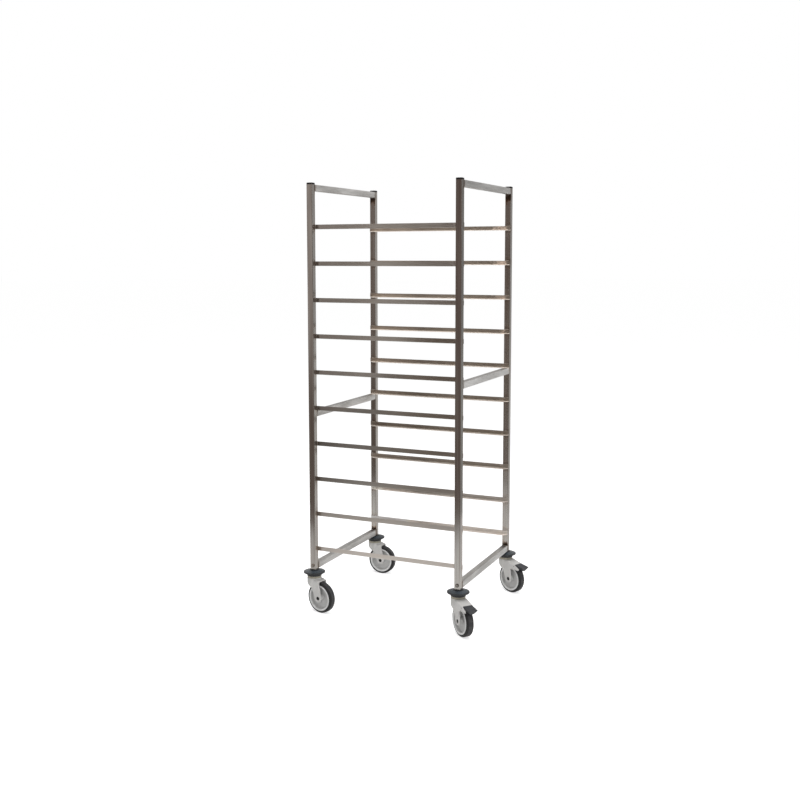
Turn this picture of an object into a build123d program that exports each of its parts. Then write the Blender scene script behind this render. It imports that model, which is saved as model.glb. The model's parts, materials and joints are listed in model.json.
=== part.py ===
from build123d import *
import math
import os

# Ten-tier trolley: a welded frame of square steel tube that carries ten pairs of tray rails on four castors.
# Millimetres. +X runs along the rails, +Y from front to rear, +Z up.
# The origin is on the floor, under the middle of the four posts.

# Trays that slide in from either end, and the room that they have
TRAY_LENGTH = 650
TRAY_WIDTH = 530
TRAY_END_ROOM = 5
TRAY_SIDE_ROOM = 15

# Square tube of the posts and crossbars
TUBE = 25
TUBE_WALL = 1.2
TUBE_CORNER = 2
POST_BOTTOM = 175
POST_TOP = 1728

# Tiers: each rail is an angle of bent sheet, leg upright against the posts and flange inwards
TIER_COUNT = 10
TIER_PITCH = 145
TOP_TIER_Z = 1562
RAIL_LEG = 18
RAIL_FLANGE = 20
RAIL_SHEET = 1.5
RAIL_BEND = 2.5
MIDDLE_BAR_UNDER_TIER = {"left": 6, "right": 5}

# Plastic caps that close the posts' upper ends
CAP_HEIGHT = 7
CAP_ROUND = 2.5
CAP_PLUG_DEPTH = 12
CAP_PLUG_GAP = 0.2

# Castor wheel
WHEEL_R = 62.5
TYRE_WIDTH = 30
TYRE_SHOULDER = 7
RIM_R = 52.5
RIM_WIDTH = 32
RIM_RING = 6.5
WEB_WIDTH = 10
WEB_DRAFT = 2.5
WHEEL_EDGE = 1
HUB_R = 14
HUB_LENGTH = 36
BUSH_R = 8
BUSH_LENGTH = 37.6
AXLE_R = 5
AXLE_HEAD_R = 7
AXLE_HEAD = 2.5
AXLE_RECESS_R = 7.8
AXLE_RECESS = 3
NUT_FLATS = 16
NUT_HEIGHT = 5

# Castor fork, in its own frame: swivel axis on Z, wheel trailing towards +X
TRAIL = 38
FORK_WIDTH = 50
FORK_GAP = 38
FORK_ROUND = 1.5
HOOD_ROUND = 7
HOOD_EDGE_X = 10
HOOD_EDGE_Z = 129
LEG_EDGE_TOP_Z = 125
WHEEL_ROOM = 4
LEG_END_R = 16.5
LEG_FRONT_KNEE = (6, 103)
HEAD_R = 29
HEAD_TOP = 141.5
HEAD_SKIRT_Z = 124
SHORT_HOOD_OUTLINE = ((43, 124), (45, 131.5), (29, 136.5), (29, 141.5))
LONG_HOOD_OUTLINE = ((50, 108), (93, 108), (98, 112), (96, 118), (76.5, 127.5), (72.5, 131), (27, 141.5))
LONG_HOOD_TAPER_X = 57
LONG_HOOD_END_WIDTH = 44
SWIVEL_ANGLES = {"front_left": 13, "front_right": 40, "rear_left": 1, "rear_right": 25}
BRAKED_CORNERS = ("front_right", "rear_right")

# Swivel: a stem clamped in the post, its neck turning in the fork's head under a ball race
RUNNING_GAP = 0.05
CLEAR_GAP = 0.3
NECK_R = 12
STEM_R = 11
STEM_GRIP = 57
SHOULDER_R = 28
SHOULDER_HEIGHT = 2.9
RIVET_R = 16
RIVET_HEIGHT = 4
RIVET_TOP = 130
RIVET_ROOM = 1
RACE_R = 28.5
RACE_HEIGHT = 7.3
BALL_R = 2.5
BALL_GROOVE_R = 3
BALL_GROOVE_DEPTH = 5.1
BALL_CIRCLE_R = 19
BALL_COUNT = 16

# Round bumper held between the post and the stem's shoulder
BUMPER_RIM_R = 44
BUMPER_NECK_R = 29.8
BUMPER_COLLAR_R = 18
BUMPER_SKIRT_Z = 149.2
BUMPER_FOOT_Z = 152
BUMPER_NECK_TOP_Z = 157.5
BUMPER_RIM_LOW_Z = 160.5
BUMPER_RIM_HIGH_Z = 165
BUMPER_CONE_TOP_Z = 172

# Screw through each post's outer face into the stem
BOLT_R = 4
BOLT_LENGTH = 23
BOLT_HEAD_R = 7
BOLT_HEAD = 4
BOLT_SOCKET_FLATS = 5
BOLT_SOCKET_DEPTH = 2.2
BOLT_ABOVE_POST_END = 16
BOLT_HOLE_R = 4.2

# Foot brake: a pedal on a pin in the fork's long hood, with its shoe over the tyre
PEDAL_PIVOT_X = 70
PEDAL_PIVOT_Z = 123.5
PEDAL_TRAVEL_DEG = 14
PEDAL_WIDTH = 39
PEDAL_ROOM = 0.5
PEDAL_SWING_ROOM = 2
PEDAL_ROUND = 1.2
PEDAL_BARREL_R = 4.5
PEDAL_SIDE_DEPTH = 2.5
PEDAL_KEEL_HALF = 7
PEDAL_KEEL_FROM_X = 80
PEDAL_OUTLINE = (
    (73.5, 130.5), (117.5, 123.5), (108, 107.5), (104, 108.5), (101, 111), (85.5, 107.5), (75.5, 114.5))
PIN_R = 2
PIN_LENGTH = 46
LEAF_SHEET = 0.8
LEAF_WIDTH = 16
LEAF_LENGTH = 22
LEAF_FROM_PIVOT = 1
LEAF_TILT_DEG = 10.2

# Worked out from the sizes above
POST_X = (TRAY_LENGTH + TRAY_END_ROOM - TUBE) / 2
POST_Y = (TRAY_WIDTH + TRAY_SIDE_ROOM + TUBE) / 2
INNER_Y = POST_Y - TUBE / 2
RAIL_LENGTH = 2 * POST_X + TUBE
BAR_LENGTH = 2 * INNER_Y
BOLT_Z = POST_BOTTOM + BOLT_ABOVE_POST_END
TUBE_INNER = TUBE - 2 * TUBE_WALL
WHEEL_ROOM_R = WHEEL_R + WHEEL_ROOM
SHORT_HOOD_TOP = SHORT_HOOD_OUTLINE[-2][1]
LONG_HOOD_X, LONG_HOOD_Z = LONG_HOOD_OUTLINE[-2]
CASTOR_REACH = max(x for x, z in PEDAL_OUTLINE)
SIDES = {"left": -1, "right": 1}
ROWS = {"front": -1, "rear": 1}
CORNERS = {f"{row}_{side}": (sx, sy) for row, sy in ROWS.items() for side, sx in SIDES.items()}


def polygon(*points):
    return make_face(Polyline(*points, close=True))


def rounded(shape, point, radius):
    corner = shape.vertices().sort_by_distance((point[0], point[1], 0))[0]
    return fillet(corner, radius)


def turned(profile):
    return revolve(Plane.XZ * profile, Axis.Z)


def side_slab(profile, width):
    return extrude(Plane.XZ * profile, width / 2, both=True)


def cross_rod(radius, length, x=0, z=0):
    return Pos(x, 0, z) * Rot(90, 0, 0) * Cylinder(radius, length)


def tangent_point(start, centre, radius, turn):
    dx, dz = start[0] - centre[0], start[1] - centre[1]
    angle = math.atan2(dz, dx) + turn * math.acos(radius / math.hypot(dx, dz))
    return centre[0] + radius * math.cos(angle), centre[1] + radius * math.sin(angle)


# Frame

def square_tube(length):
    outer = RectangleRounded(TUBE, TUBE, TUBE_CORNER)
    inner = RectangleRounded(TUBE_INNER, TUBE_INNER, TUBE_CORNER - TUBE_WALL)
    return extrude(outer - inner, length)


def post(sx, sy):
    tube = Pos(sx * POST_X, sy * POST_Y, POST_BOTTOM) * square_tube(POST_TOP - POST_BOTTOM)
    outer_face = Pos(sx * POST_X, sy * (POST_Y + TUBE / 2), BOLT_Z)
    return tube - outer_face * cross_rod(BOLT_HOLE_R, TUBE)


def crossbar(sx, low_z):
    return Pos(sx * POST_X, -INNER_Y, low_z + TUBE / 2) * Rot(-90, 0, 0) * square_tube(BAR_LENGTH)


def tier_z(tier):
    return TOP_TIER_Z - (tier - 1) * TIER_PITCH


def rail(sy, tier):
    foot = -RAIL_LEG / 2
    section = polygon(
        (0, foot), (RAIL_FLANGE, foot), (RAIL_FLANGE, foot + RAIL_SHEET),
        (RAIL_SHEET, foot + RAIL_SHEET), (RAIL_SHEET, -foot), (0, -foot))
    section = rounded(section, (0, foot), RAIL_BEND)
    section = rounded(section, (RAIL_SHEET, foot + RAIL_SHEET), RAIL_BEND - RAIL_SHEET)
    angle = Pos(-RAIL_LENGTH / 2, 0, 0) * extrude(Plane.YZ * section, RAIL_LENGTH)
    reach = RAIL_FLANGE - RAIL_SHEET
    end = RAIL_LENGTH / 2
    for sx in (-1, 1):  # the flange's end corners are cut away at 45 degrees
        corner = polygon((sx * end, RAIL_SHEET), (sx * end, RAIL_FLANGE), (sx * (end - reach), RAIL_FLANGE))
        angle -= Pos(0, 0, -RAIL_LEG) * extrude(corner, 2 * RAIL_LEG)
    if sy > 0:
        angle = mirror(angle, Plane.XZ)
    return Pos(0, sy * INNER_Y, tier_z(tier)) * angle


def post_cap(sx, sy):
    top = extrude(RectangleRounded(TUBE, TUBE, TUBE_CORNER), CAP_HEIGHT)
    top = fillet(top.faces().sort_by(Axis.Z)[-1].edges(), CAP_ROUND)
    plug_side = TUBE_INNER - 2 * CAP_PLUG_GAP
    plug = extrude(RectangleRounded(plug_side, plug_side, TUBE_CORNER), -CAP_PLUG_DEPTH)
    return Pos(sx * POST_X, sy * POST_Y, POST_TOP) * (top + plug)


# Castor mounting, on the swivel axis

def bumper():
    bore, skirt_bore = STEM_R + CLEAR_GAP, SHOULDER_R + CLEAR_GAP
    profile = polygon(
        (bore, BUMPER_FOOT_Z), (skirt_bore, BUMPER_FOOT_Z), (skirt_bore, BUMPER_SKIRT_Z),
        (BUMPER_NECK_R, BUMPER_SKIRT_Z), (BUMPER_NECK_R, BUMPER_NECK_TOP_Z), (BUMPER_RIM_R, BUMPER_RIM_LOW_Z),
        (BUMPER_RIM_R, BUMPER_RIM_HIGH_Z), (BUMPER_COLLAR_R, BUMPER_CONE_TOP_Z),
        (BUMPER_COLLAR_R, POST_BOTTOM), (bore, POST_BOTTOM))
    rim_round = (BUMPER_RIM_HIGH_Z - BUMPER_RIM_LOW_Z) / 3
    profile = rounded(profile, (BUMPER_RIM_R, BUMPER_RIM_LOW_Z), rim_round)
    profile = rounded(profile, (BUMPER_RIM_R, BUMPER_RIM_HIGH_Z), rim_round)
    return turned(profile)


def castor_stem():
    shoulder_z = BUMPER_FOOT_Z - SHOULDER_HEIGHT
    top = POST_BOTTOM + STEM_GRIP
    profile = polygon(
        (0, RIVET_TOP - RIVET_HEIGHT), (RIVET_R, RIVET_TOP - RIVET_HEIGHT), (RIVET_R, RIVET_TOP),
        (NECK_R, RIVET_TOP), (NECK_R, shoulder_z), (SHOULDER_R, shoulder_z), (SHOULDER_R, BUMPER_FOOT_Z),
        (STEM_R, BUMPER_FOOT_Z), (STEM_R, top), (0, top))
    return turned(profile) - Pos(0, 0, BOLT_Z) * cross_rod(BOLT_HOLE_R, 3 * STEM_R)


def stem_bolt(sx, sy):
    shank = Pos(0, 0, -BOLT_LENGTH / 2) * Cylinder(BOLT_R, BOLT_LENGTH)
    head = Pos(0, 0, BOLT_HEAD / 2) * Cylinder(BOLT_HEAD_R, BOLT_HEAD)
    head = fillet(head.faces().sort_by(Axis.Z)[-1].edges(), BOLT_HEAD / 2)
    socket_r = BOLT_SOCKET_FLATS / math.sqrt(3)
    socket = Pos(0, 0, BOLT_HEAD - BOLT_SOCKET_DEPTH) * extrude(RegularPolygon(socket_r, 6), BOLT_HEAD)
    outer_face = Pos(sx * POST_X, sy * (POST_Y + TUBE / 2), BOLT_Z)
    return outer_face * Rot(-90 * sy, 0, 0) * (shank + head - socket)


def swivel_bearing():
    bore = NECK_R + RUNNING_GAP
    top = HEAD_TOP + RACE_HEIGHT
    floor = top - BALL_GROOVE_DEPTH
    inner, outer = BALL_CIRCLE_R - BALL_GROOVE_R, BALL_CIRCLE_R + BALL_GROOVE_R
    race = turned(polygon(
        (bore, HEAD_TOP), (RACE_R, HEAD_TOP), (RACE_R, top), (outer, top),
        (outer, floor), (inner, floor), (inner, top), (bore, top)))
    circle = PolarLocations(BALL_CIRCLE_R, BALL_COUNT)
    return [race] + [Pos(0, 0, top - BALL_R) * spot * Sphere(BALL_R) for spot in circle]


# Castor fork and wheel

def fork_profile(braked):
    axle = (TRAIL, WHEEL_R)
    hood = LONG_HOOD_OUTLINE if braked else SHORT_HOOD_OUTLINE
    outline = polygon(
        (-HEAD_R, HEAD_TOP), (-HEAD_R, HEAD_SKIRT_Z), LEG_FRONT_KNEE,
        tangent_point(LEG_FRONT_KNEE, axle, LEG_END_R, 1), axle,
        tangent_point(hood[0], axle, LEG_END_R, -1), *hood)
    return outline + Pos(*axle) * Circle(LEG_END_R)


def fork_plan():
    half, end_half = FORK_WIDTH / 2, LONG_HOOD_END_WIDTH / 2
    side = [(0, half), (LONG_HOOD_TAPER_X, half), (CASTOR_REACH, end_half)]
    return Circle(HEAD_R) + polygon(*side, *[(x, -y) for x, y in reversed(side)])


def on_outline(edge):
    along = edge.tangent_at(0.5)
    upright = abs(along.Z) > 1 - 1e-6
    across = abs(edge.center().Y) < HEAD_R / 2
    return not (upright or across)


def on_hood_top(edge):
    middle = edge.center()
    steep = abs(edge.tangent_at(0.5).Z) > 0.6
    return middle.X > HOOD_EDGE_X and middle.Z > HOOD_EDGE_Z and not steep


def on_legs(edge):
    return edge.center().Z < LEG_EDGE_TOP_Z


def fork_body(braked):
    plan_top = HEAD_TOP if braked else SHORT_HOOD_TOP
    outside = extrude(Circle(HEAD_R), HEAD_TOP) + extrude(fork_plan(), plan_top)
    body = side_slab(fork_profile(braked), 2 * HEAD_R) & outside
    body = fillet(body.edges().filter_by(on_outline).filter_by(on_hood_top), HOOD_ROUND)
    return fillet(body.edges().filter_by(on_outline).filter_by(on_legs), FORK_ROUND)


def fork(braked):
    body = fork_body(braked)
    body -= cross_rod(WHEEL_ROOM_R, FORK_GAP, TRAIL, WHEEL_R)
    body -= cross_rod(AXLE_R + RUNNING_GAP, 2 * FORK_WIDTH, TRAIL, WHEEL_R)
    body -= Pos(0, -FORK_WIDTH / 2, 0) * cross_rod(AXLE_RECESS_R, 2 * AXLE_RECESS, TRAIL, WHEEL_R)
    body -= Pos(0, 0, HEAD_TOP) * Cylinder(NECK_R + RUNNING_GAP, HEAD_TOP)
    recess = Cylinder(RIVET_R + RIVET_ROOM, HEAD_TOP, align=(Align.CENTER, Align.CENTER, Align.MAX))
    body -= Pos(0, 0, RIVET_TOP + CLEAR_GAP) * recess
    if braked:
        body -= brake_room()
    return body


def axle():
    half = FORK_WIDTH / 2
    head_seat, shank_end = half - AXLE_RECESS, half + NUT_HEIGHT
    shank = Pos(0, 0, (shank_end - head_seat) / 2) * Cylinder(AXLE_R, head_seat + shank_end)
    head = Pos(0, 0, -head_seat - AXLE_HEAD / 2) * Cylinder(AXLE_HEAD_R, AXLE_HEAD)
    bolt = shank + fillet(head.faces().sort_by(Axis.Z)[0].edges(), AXLE_HEAD / 2)
    nut = extrude(RegularPolygon(NUT_FLATS / math.sqrt(3), 6) - Circle(AXLE_R + RUNNING_GAP), NUT_HEIGHT)
    nut = Pos(0, 0, half) * nut
    return [Pos(TRAIL, 0, WHEEL_R) * Rot(-90, 0, 0) * piece for piece in (bolt, nut)]


def on_axle(profile):
    return Pos(TRAIL, 0, WHEEL_R) * Rot(90, 0, 0) * turned(profile)


def mirrored_profile(*points):
    return polygon(*points, *[(r, -z) for r, z in reversed(points)])


def wheel_core():
    dish_r = RIM_R - RIM_RING
    hub_face, web_face, rim_face = HUB_LENGTH / 2, WEB_WIDTH / 2, RIM_WIDTH / 2
    return on_axle(mirrored_profile(
        (BUSH_R, hub_face), (HUB_R - WHEEL_EDGE, hub_face), (HUB_R, hub_face - WHEEL_EDGE),
        (HUB_R + WHEEL_EDGE, web_face), (dish_r - WEB_DRAFT, web_face), (dish_r, rim_face - WHEEL_EDGE),
        (dish_r + WHEEL_EDGE, rim_face), (RIM_R, rim_face)))


def tyre():
    half = TYRE_WIDTH / 2
    profile = mirrored_profile((RIM_R, half), (WHEEL_R, half))
    for sign in (-1, 1):
        profile = rounded(profile, (WHEEL_R, sign * half), TYRE_SHOULDER)
    return on_axle(profile)


def hub_bush():
    return on_axle(mirrored_profile((AXLE_R + RUNNING_GAP, BUSH_LENGTH / 2), (BUSH_R, BUSH_LENGTH / 2)))


# Foot brake

def brake_pivot():
    return Pos(PEDAL_PIVOT_X, 0, PEDAL_PIVOT_Z)


def leaf_place():
    middle = PEDAL_BARREL_R + CLEAR_GAP + LEAF_SHEET / 2
    return brake_pivot() * Rot(0, LEAF_TILT_DEG, 0) * Pos(-LEAF_FROM_PIVOT - LEAF_LENGTH / 2, 0, middle)


def brake_room():
    room_width = PEDAL_WIDTH + 2 * PEDAL_ROOM
    barrel_room_r = PEDAL_BARREL_R + PEDAL_ROOM
    room = cross_rod(barrel_room_r, room_width, PEDAL_PIVOT_X, PEDAL_PIVOT_Z)
    neck_room = Box(2 * barrel_room_r, room_width, 2 * barrel_room_r + PEDAL_SWING_ROOM)
    room += brake_pivot() * Pos(barrel_room_r, 0, -PEDAL_SWING_ROOM / 2) * neck_room
    beyond = CASTOR_REACH - LONG_HOOD_X
    room += Pos(LONG_HOOD_X + beyond / 2, 0, LONG_HOOD_Z) * Box(beyond, room_width, LONG_HOOD_Z)
    leaf_depth = 2 * barrel_room_r
    leaf_room = Box(LEAF_LENGTH + 2 * PEDAL_ROOM, LEAF_WIDTH + 2 * PEDAL_ROOM, leaf_depth)
    room += leaf_place() * Pos(0, 0, (LEAF_SHEET - leaf_depth) / 2) * leaf_room
    return room + cross_rod(PIN_R + RUNNING_GAP, 2 * FORK_WIDTH, PEDAL_PIVOT_X, PEDAL_PIVOT_Z)


def shoe_centre():
    angle = math.radians(PEDAL_TRAVEL_DEG)
    dx, dz = TRAIL - PEDAL_PIVOT_X, WHEEL_R - PEDAL_PIVOT_Z
    x = PEDAL_PIVOT_X + dx * math.cos(angle) - dz * math.sin(angle)
    z = PEDAL_PIVOT_Z + dx * math.sin(angle) + dz * math.cos(angle)
    return x, z


def pedal_corner():
    tip, heel = PEDAL_OUTLINE[1], PEDAL_OUTLINE[2]
    side_z, keel_z = tip[1] - PEDAL_SIDE_DEPTH, heel[1]
    corner = polygon(
        (PEDAL_WIDTH / 2, side_z), (PEDAL_WIDTH, side_z), (PEDAL_WIDTH, 0),
        (PEDAL_KEEL_HALF, 0), (PEDAL_KEEL_HALF, keel_z))
    return Pos(PEDAL_KEEL_FROM_X, 0, 0) * extrude(Plane.YZ * corner, CASTOR_REACH)


def brake_pedal():
    barrel = Pos(PEDAL_PIVOT_X, PEDAL_PIVOT_Z)
    neck = Pos(PEDAL_BARREL_R, 0) * Rectangle(2 * PEDAL_BARREL_R, 2 * PEDAL_BARREL_R)
    profile = polygon(*PEDAL_OUTLINE) + barrel * neck + barrel * Circle(PEDAL_BARREL_R)
    profile -= Pos(*shoe_centre()) * Circle(WHEEL_R + CLEAR_GAP)  # fits round the tyre when pressed down
    pedal = side_slab(profile, PEDAL_WIDTH)
    sides = pedal.faces().filter_by(Axis.Y)
    pedal = fillet(sides.edges(), PEDAL_ROUND) - pedal_corner() - mirror(pedal_corner(), Plane.XZ)
    return pedal - cross_rod(PIN_R + RUNNING_GAP, FORK_WIDTH, PEDAL_PIVOT_X, PEDAL_PIVOT_Z)


def brake_pin():
    return cross_rod(PIN_R, PIN_LENGTH, PEDAL_PIVOT_X, PEDAL_PIVOT_Z)


def brake_spring():
    return leaf_place() * Box(LEAF_LENGTH, LEAF_WIDTH, LEAF_SHEET)


# One STEP file for each piece

def save(name, solids):
    shape = solids[0] if len(solids) == 1 else Compound(children=solids)
    export_step(shape, f"parts/{name}.step")
    print(name, len(solids))


os.makedirs("parts", exist_ok=True)

for corner, (sx, sy) in CORNERS.items():
    save(f"post_{corner}", [post(sx, sy)])

for side, sx in SIDES.items():
    under = tier_z(MIDDLE_BAR_UNDER_TIER[side]) - RAIL_LEG / 2
    for level, low_z in (("top", POST_TOP - TUBE), ("middle", under - TUBE), ("bottom", POST_BOTTOM)):
        save(f"{level}_bar_{side}", [crossbar(sx, low_z)])

for tier in range(1, TIER_COUNT + 1):
    save(f"tier_{tier:02d}_rails", [rail(-1, tier), rail(1, tier)])

save("post_caps", [post_cap(*signs) for signs in CORNERS.values()])
save("stem_bolts", [stem_bolt(*signs) for signs in CORNERS.values()])

for corner, (sx, sy) in CORNERS.items():
    mount = Pos(sx * POST_X, sy * POST_Y, 0)
    save(f"bumper_{corner}", [mount * bumper()])
    save(f"castor_stem_{corner}", [mount * castor_stem()])
    swung = mount * Rot(0, 0, -SWIVEL_ANGLES[corner])
    braked = corner in BRAKED_CORNERS
    castor = {
        "swivel_bearing": swivel_bearing(),
        "castor_fork": [fork(braked)],
        "wheel_axle": axle(),
        "wheel_core": [wheel_core()],
        "tyre": [tyre()],
        "hub_bush": [hub_bush()],
    }
    if braked:
        castor["brake_pedal"] = [brake_pedal()]
        castor["brake_pin"] = [brake_pin()]
        castor["brake_spring"] = [brake_spring()]
    for piece, solids in castor.items():
        save(f"{piece}_{corner}", [swung * solid for solid in solids])
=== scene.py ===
import bmesh
import bpy
import json
import math
from mathutils import Matrix, Vector


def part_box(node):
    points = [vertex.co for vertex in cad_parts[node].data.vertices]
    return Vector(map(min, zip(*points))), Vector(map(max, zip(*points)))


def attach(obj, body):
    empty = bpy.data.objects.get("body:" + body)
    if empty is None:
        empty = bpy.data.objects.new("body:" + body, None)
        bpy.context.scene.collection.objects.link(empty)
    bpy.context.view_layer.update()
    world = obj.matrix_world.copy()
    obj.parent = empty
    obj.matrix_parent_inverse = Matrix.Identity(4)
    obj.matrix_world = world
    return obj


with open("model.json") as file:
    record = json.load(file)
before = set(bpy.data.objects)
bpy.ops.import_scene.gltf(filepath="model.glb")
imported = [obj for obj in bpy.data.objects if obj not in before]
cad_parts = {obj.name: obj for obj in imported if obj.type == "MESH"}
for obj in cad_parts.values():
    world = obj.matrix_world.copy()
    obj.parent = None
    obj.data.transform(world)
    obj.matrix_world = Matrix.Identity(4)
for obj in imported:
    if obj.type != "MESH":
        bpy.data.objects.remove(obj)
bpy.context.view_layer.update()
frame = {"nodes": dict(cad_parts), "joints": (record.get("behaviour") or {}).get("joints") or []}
nodes = frame["nodes"]
scene = bpy.context.scene
scene.view_settings.view_transform = "Standard"


# sizes in metres, read off the frame

def span(name, axis):
    return [round(end["XYZ".index(axis)], 5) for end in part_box(name)]


def centre(name, axis):
    return sum(span(name, axis)) / 2


def axle(corner):
    roll = next(joint for joint in frame["joints"] if joint["name"] == "wheel_roll_" + corner)
    return {"Axle": roll["pos_m"], "Way": roll["axis"]}


corners = ("front_left", "front_right", "rear_left", "rear_right")
tiers = sorted(name for name in nodes if name.startswith("tier_"))     # from the top down
railFoot, railTop = span(tiers[-1], "Z")
trolley = {
    "postX": centre("post_rear_right", "X"), "innerX": span("post_rear_right", "X")[0],   # middle, inner face
    "postY": centre("post_rear_right", "Y"), "innerY": span("post_rear_right", "Y")[0],
    "lowTier": (railFoot + railTop) / 2, "railLeg": railTop - railFoot,
    "pitch": (centre(tiers[0], "Z") - centre(tiers[-1], "Z")) / (len(tiers) - 1),
    "topBar": span("top_bar_left", "Z")[0],              # lower edge of the top bars
    "bottomBar": span("bottom_bar_left", "Z"),           # both edges of the others
    "leftMiddle": span("middle_bar_left", "Z"), "rightMiddle": span("middle_bar_right", "Z"),
    "screwZ": centre("stem_bolts", "Z"), "bumperTop": span("bumper_front_left", "Z")[1],
}


# node tree helpers

def feed(tree, socket, value):
    if isinstance(value, bpy.types.NodeSocket):
        tree.links.new(value, socket)
    else:
        socket.default_value = value


def feedAll(tree, sockets, values):
    for socket, value in zip(sockets, values):
        feed(tree, socket, value)


def calc(tree, operation, *values, clamp=False):
    made = tree.nodes.new("ShaderNodeMath")
    made.operation = operation
    made.use_clamp = clamp
    feedAll(tree, made.inputs, values)
    return made.outputs[0]


def vectorCalc(tree, operation, *values):
    made = tree.nodes.new("ShaderNodeVectorMath")
    made.operation = operation
    feedAll(tree, made.inputs, values)
    return made.outputs["Value" if operation in ("DOT_PRODUCT", "LENGTH") else "Vector"]


def times(tree, first, *others):
    for other in others:
        first = calc(tree, "MULTIPLY", first, other)
    return first


def past(tree, value, start):                            # how far a value is over its start, or nothing
    return calc(tree, "MAXIMUM", calc(tree, "SUBTRACT", value, start), 0.0)


def hypot(tree, one, two):
    return calc(tree, "SQRT", calc(tree, "ADD", times(tree, one, one), times(tree, two, two)))


def spread(tree, value, low, high, newLow=0.0, newHigh=1.0, smooth=False):
    made = tree.nodes.new("ShaderNodeMapRange")
    made.interpolation_type = "SMOOTHSTEP" if smooth else "LINEAR"
    feedAll(tree, made.inputs, (value, low, high, newLow, newHigh))
    return made.outputs[0]


def eitherSide(tree, value, before=0.0, after=1.0):      # short of the trolley's middle, and past it
    seam = 0.01
    return spread(tree, value, -seam, seam, before, after)


def opaque(colour):
    return (*colour, 1) if isinstance(colour, tuple) else colour


def tinted(tree, factor, first, second, mode="MIX"):
    made = tree.nodes.new("ShaderNodeMix")
    made.data_type = "RGBA"
    made.blend_type = mode
    takes = {socket.identifier: socket for socket in made.inputs}
    feed(tree, takes["Factor_Float"], factor)
    feed(tree, takes["A_Color"], opaque(first))
    feed(tree, takes["B_Color"], opaque(second))
    return next(socket for socket in made.outputs if socket.identifier == "Result_Color")


def ramp(tree, factor, stops):
    made = tree.nodes.new("ShaderNodeValToRGB")
    marks = made.color_ramp.elements
    while len(marks) < len(stops):
        marks.new(1.0)
    for mark, (share, colour) in zip(marks, stops):
        mark.position = share
        mark.color = opaque(colour)
    feed(tree, made.inputs[0], factor)
    return made.outputs[0]


def noise(tree, where, scale, detail=2.0, rough=0.5):
    made = tree.nodes.new("ShaderNodeTexNoise")
    for label, value in (("Vector", where), ("Scale", scale), ("Detail", detail), ("Roughness", rough)):
        feed(tree, made.inputs[label], value)
    return made.outputs[0]


def ownPlace(tree):
    return tree.nodes.new("ShaderNodeTexCoord").outputs["Object"]


def normal(tree):
    return tree.nodes.new("ShaderNodeNewGeometry").outputs["Normal"]


def parts(tree, vector):
    made = tree.nodes.new("ShaderNodeSeparateXYZ")
    feed(tree, made.inputs[0], vector)
    return made.outputs


def newGroup(name, takes, **gives):
    group = bpy.data.node_groups.new(name, "ShaderNodeTree")
    for label, value in takes.items():
        kind = "NodeSocketVector" if isinstance(value, tuple) else "NodeSocketFloat"
        group.interface.new_socket(label, in_out="INPUT", socket_type=kind).default_value = value
    for label, kind in gives.items():
        group.interface.new_socket(label, in_out="OUTPUT", socket_type="NodeSocket" + kind)
    return group, group.nodes.new("NodeGroupInput").outputs, group.nodes.new("NodeGroupOutput").inputs


def place(tree, group, **values):
    made = tree.nodes.new("ShaderNodeGroup")
    made.node_tree = group
    for label, value in values.items():
        feed(tree, made.inputs[label], value)
    return made.outputs


def newMaterial(name, **sockets):
    made = bpy.data.materials.new(name)
    made.use_nodes = True
    shader = made.node_tree.nodes["Principled BSDF"]
    for label, value in sockets.items():
        shader.inputs[label.replace("_", " ")].default_value = value
    return made, made.node_tree, shader


def surfaced(tree, shader, colour, grain, look):         # colour, and one grain that roughens and lifts it
    feed(tree, shader.inputs["Base Color"], colour)
    feed(tree, shader.inputs["Roughness"], spread(tree, grain, 0, 1, *look["roughness"]))
    made = tree.nodes.new("ShaderNodeBump")
    for label, value in zip(("Strength", "Distance", "Height"), (*look["bump"], grain)):
        feed(tree, made.inputs[label], value)
    feed(tree, shader.inputs["Normal"], made.outputs[0])


# brushed grain: fine streaks and broad smudges, each a noise with its scale, detail and roughness
grainLook = {"fine": (1.0, 3.0, 0.6), "streak": (0.3, 0.7), "soft": (1.0, 3.0), "smudge": (0.35, 0.65)}


def makeBrushedGrain():
    takes = {"Stretch": (1, 1, 1), "Smudge": (1, 1, 1)}
    group, take, give = newGroup("brushedGrain", takes, Streak="Float", Smudge="Float")
    where = ownPlace(group)
    fine = noise(group, vectorCalc(group, "MULTIPLY", where, take["Stretch"]), *grainLook["fine"])
    feed(group, give["Streak"], spread(group, fine, *grainLook["streak"]))
    soft = noise(group, vectorCalc(group, "MULTIPLY", where, take["Smudge"]), *grainLook["soft"])
    feed(group, give["Smudge"], spread(group, soft, *grainLook["smudge"]))
    return group


# heat marks of welds: a ragged, patchy mark that fades, from straw to burnt
heatLook = {
    "wobble": (90.0, 3.0), "wobbleTo": (0.3, 0.7, 0.6, 1.5),
    "patch": (17.0, 1.0), "patchTo": (0.35, 0.6, 0.35, 1.0), "fade": (0.25, 1.0, 1.0, 0.0),
    "straw": [(0.00, (0.78, 0.65, 0.55)), (0.30, (0.84, 0.69, 0.57)),
              (0.60, (0.80, 0.68, 0.58)), (1.00, (0.68, 0.62, 0.56))],
    "burnt": [(0.00, (0.06, 0.048, 0.040)), (0.40, (0.13, 0.092, 0.068)),
              (0.65, (0.45, 0.31, 0.22)), (1.00, (0.66, 0.56, 0.46))],
}


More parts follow.
